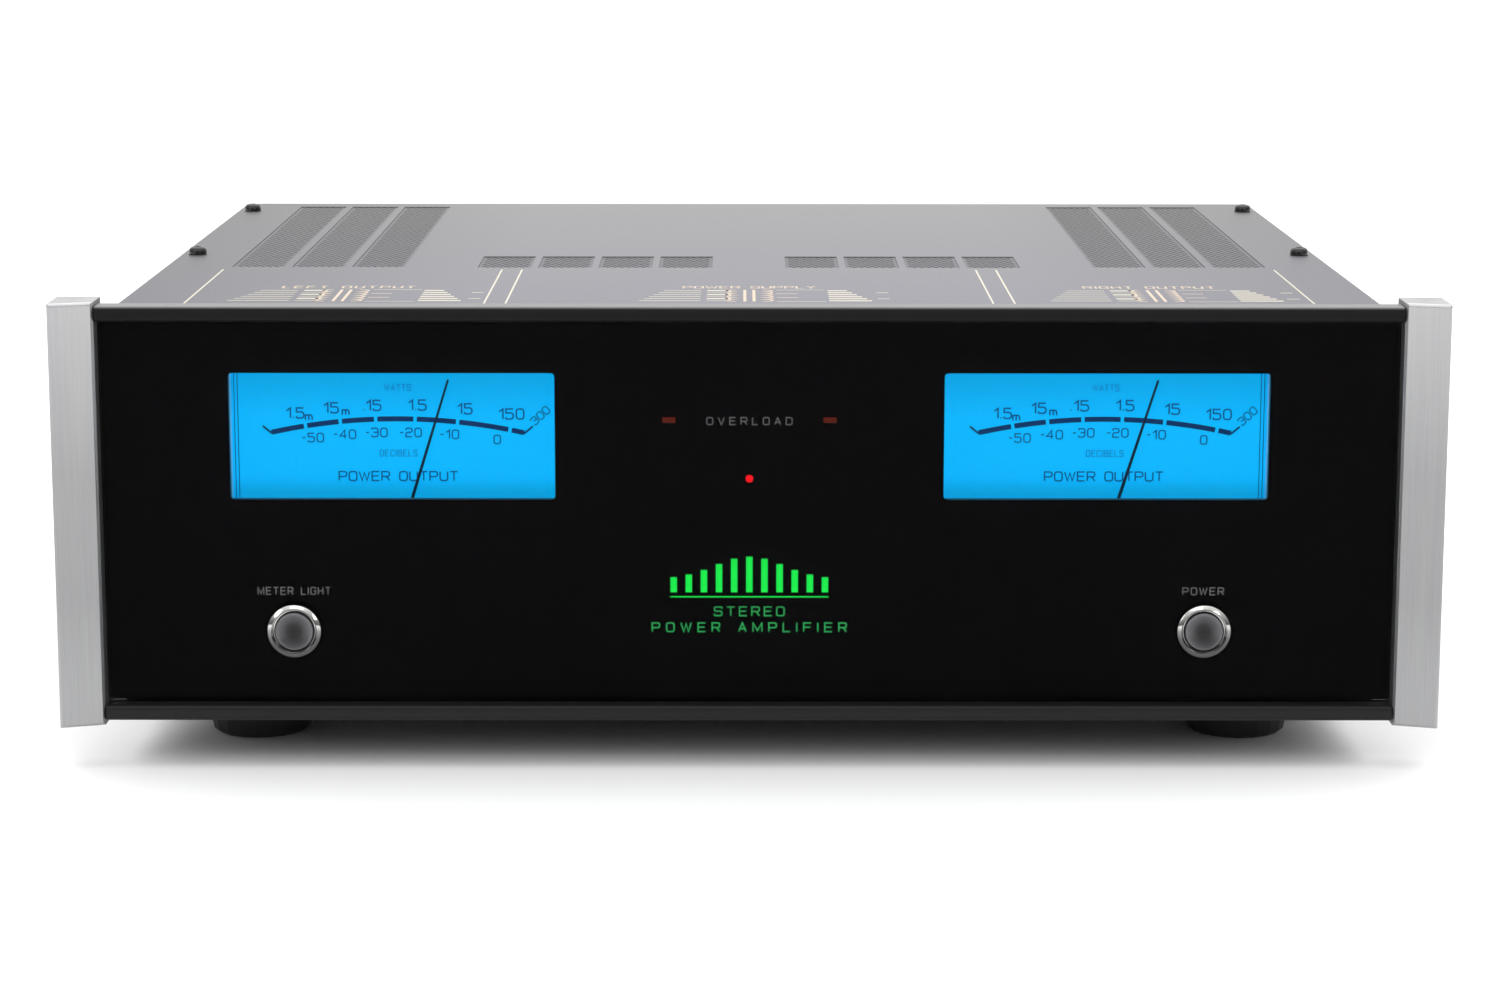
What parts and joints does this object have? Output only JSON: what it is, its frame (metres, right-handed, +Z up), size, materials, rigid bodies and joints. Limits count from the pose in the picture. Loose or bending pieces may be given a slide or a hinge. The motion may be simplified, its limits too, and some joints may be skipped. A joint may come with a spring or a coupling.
{
  "type": "power amplifier",
  "caption": "Stereo audio power amplifier with a black glass front, blue needle meters, aluminium end caps, a vented grey cover and rear output posts.",
  "frame": {"origin": "on the ground under the centre of the whole amplifier, at the bottom of the feet", "axes": "+X to the right as seen from the front, +Y from the front towards the rear sockets, +Z up"},
  "size_m": [0.4446, 0.368, 0.1524],
  "materials": {
    "end_caps": "vertically brushed, clear anodised, bright chamfers",
    "rails": "black-brown anodised, satin",
    "front_glass": "clear pane, printed black behind, with clear windows",
    "black_plastic": "moulded, fine grain",
    "circuit_board": "green solder mask, soldered parts",
    "status_led": "lit red lens",
    "guard_led": "unlit amber-red lens",
    "badge_light": "lit green light guide",
    "meter_dial": "back-lit blue dial with dark print",
    "needle": "matt black",
    "movement": "plated",
    "bezels": "turned and polished",
    "buttons": "satin, slightly dished",
    "chassis": "black powder coat",
    "rear_panel": "black powder coat with white printing",
    "top_cover": "titanium-grey satin paint, perforated vent fields",
    "cover_screws": "black oxide",
    "feet": "moulded",
    "gold_contacts": "gold plated",
    "gold_nuts": "gold plated, fluted",
    "transformer_core": "varnished laminations and windings",
    "heatsinks": "black anodised extrusion"
  },
  "bodies": {
    "chassis": {"amp_board_left": "circuit_board", "amp_board_right": "circuit_board", "autoformer_left": "transformer_core", "autoformer_right": "transformer_core", "badge_light_panel": "badge_light", "chassis_tray": "chassis", "cover_screw_front_left": "cover_screws", "cover_screw_front_right": "cover_screws", "cover_screw_rear_left": "cover_screws", "cover_screw_rear_right": "cover_screws", "end_cap_left": "end_caps", "end_cap_right": "end_caps", "foot_front_left": "feet", "foot_front_right": "feet", "foot_rear_left": "feet", "foot_rear_right": "feet", "front_board": "circuit_board", "front_carrier": "black_plastic", "front_glass": "front_glass", "fuse_holder": "black_plastic", "guard_led_left": "guard_led", "guard_led_right": "guard_led", "heatsink_left": "heatsinks", "heatsink_right": "heatsinks", "input_board": "circuit_board", "mains_inlet": "black_plastic", "meter_dial_left": "meter_dial", "meter_dial_right": "meter_dial", "meter_housing_left": "black_plastic", "meter_housing_right": "black_plastic", "meter_light_bezel": "bezels", "meter_movement_left": "movement", "meter_movement_right": "movement", "power_bezel": "bezels", "power_transformer": "transformer_core", "rail_bottom": "rails", "rail_top": "rails", "rca_jacks": "gold_contacts", "rear_panel": "rear_panel", "status_led": "status_led", "supply_board": "circuit_board", "terminal_block_left": "black_plastic", "terminal_block_right": "black_plastic", "top_cover": "top_cover", "xlr_left": "black_plastic", "xlr_right": "black_plastic"},
    "meter_light_button": {"meter_light_button": "buttons"},
    "power_button": {"power_button": "buttons"},
    "meter_needle_left": {"meter_needle_left": "needle"},
    "meter_needle_right": {"meter_needle_right": "needle"},
    "mode_switch_lever": {"mode_switch_lever": "black_plastic"},
    "fuse_cap": {"fuse_cap": "black_plastic"},
    "post_nut_left_common": {"post_nut_left_common": "gold_nuts"},
    "post_nut_left_2_ohm": {"post_nut_left_2_ohm": "gold_nuts"},
    "post_nut_left_4_ohm": {"post_nut_left_4_ohm": "gold_nuts"},
    "post_nut_left_8_ohm": {"post_nut_left_8_ohm": "gold_nuts"},
    "post_nut_right_common": {"post_nut_right_common": "gold_nuts"},
    "post_nut_right_2_ohm": {"post_nut_right_2_ohm": "gold_nuts"},
    "post_nut_right_4_ohm": {"post_nut_right_4_ohm": "gold_nuts"},
    "post_nut_right_8_ohm": {"post_nut_right_8_ohm": "gold_nuts"}
  },
  "joints": [
    {"name": "meter_light_press", "type": "slide", "parent": "chassis", "child": "meter_light_button", "axis": [0, 1, 0], "range_m": [0, 0.0025], "stiffness_N_per_m": 400, "springref_m": -0.002},
    {"name": "power_press", "type": "slide", "parent": "chassis", "child": "power_button", "axis": [0, 1, 0], "range_m": [0, 0.0025], "stiffness_N_per_m": 400, "springref_m": -0.002},
    {"name": "needle_swing_left", "type": "hinge", "parent": "chassis", "child": "meter_needle_left", "pos_m": [-0.1149, -0.16085, 0.0689], "axis": [0, 1, 0], "range_deg": [-62.3, 27.7], "stiffness_Nm_per_rad": 0.0005},
    {"name": "needle_swing_right", "type": "hinge", "parent": "chassis", "child": "meter_needle_right", "pos_m": [0.1149, -0.16085, 0.0689], "axis": [0, 1, 0], "range_deg": [-62.3, 27.7], "stiffness_Nm_per_rad": 0.0005},
    {"name": "mode_switch_slide", "type": "slide", "parent": "chassis", "child": "mode_switch_lever", "axis": [1, 0, 0], "range_m": [0, 0.004]},
    {"name": "fuse_cap_turn", "type": "hinge", "parent": "chassis", "child": "fuse_cap", "pos_m": [0.098, 0.16575, 0.0484], "axis": [0, 1, 0], "range_deg": [0, 90]},
    {"name": "post_nut_turn_left_common", "type": "hinge", "parent": "chassis", "child": "post_nut_left_common", "pos_m": [-0.1035, 0.17375, 0.1024], "axis": [0, 1, 0], "range_deg": [0, 1800]},
    {"name": "post_nut_turn_left_2_ohm", "type": "hinge", "parent": "chassis", "child": "post_nut_left_2_ohm", "pos_m": [-0.1265, 0.17375, 0.1024], "axis": [0, 1, 0], "range_deg": [0, 1800]},
    {"name": "post_nut_turn_left_4_ohm", "type": "hinge", "parent": "chassis", "child": "post_nut_left_4_ohm", "pos_m": [-0.1495, 0.17375, 0.1024], "axis": [0, 1, 0], "range_deg": [0, 1800]},
    {"name": "post_nut_turn_left_8_ohm", "type": "hinge", "parent": "chassis", "child": "post_nut_left_8_ohm", "pos_m": [-0.1725, 0.17375, 0.1024], "axis": [0, 1, 0], "range_deg": [0, 1800]},
    {"name": "post_nut_turn_right_common", "type": "hinge", "parent": "chassis", "child": "post_nut_right_common", "pos_m": [0.1035, 0.17375, 0.1024], "axis": [0, 1, 0], "range_deg": [0, 1800]},
    {"name": "post_nut_turn_right_2_ohm", "type": "hinge", "parent": "chassis", "child": "post_nut_right_2_ohm", "pos_m": [0.1265, 0.17375, 0.1024], "axis": [0, 1, 0], "range_deg": [0, 1800]},
    {"name": "post_nut_turn_right_4_ohm", "type": "hinge", "parent": "chassis", "child": "post_nut_right_4_ohm", "pos_m": [0.1495, 0.17375, 0.1024], "axis": [0, 1, 0], "range_deg": [0, 1800]},
    {"name": "post_nut_turn_right_8_ohm", "type": "hinge", "parent": "chassis", "child": "post_nut_right_8_ohm", "pos_m": [0.1725, 0.17375, 0.1024], "axis": [0, 1, 0], "range_deg": [0, 1800]}
  ]
}
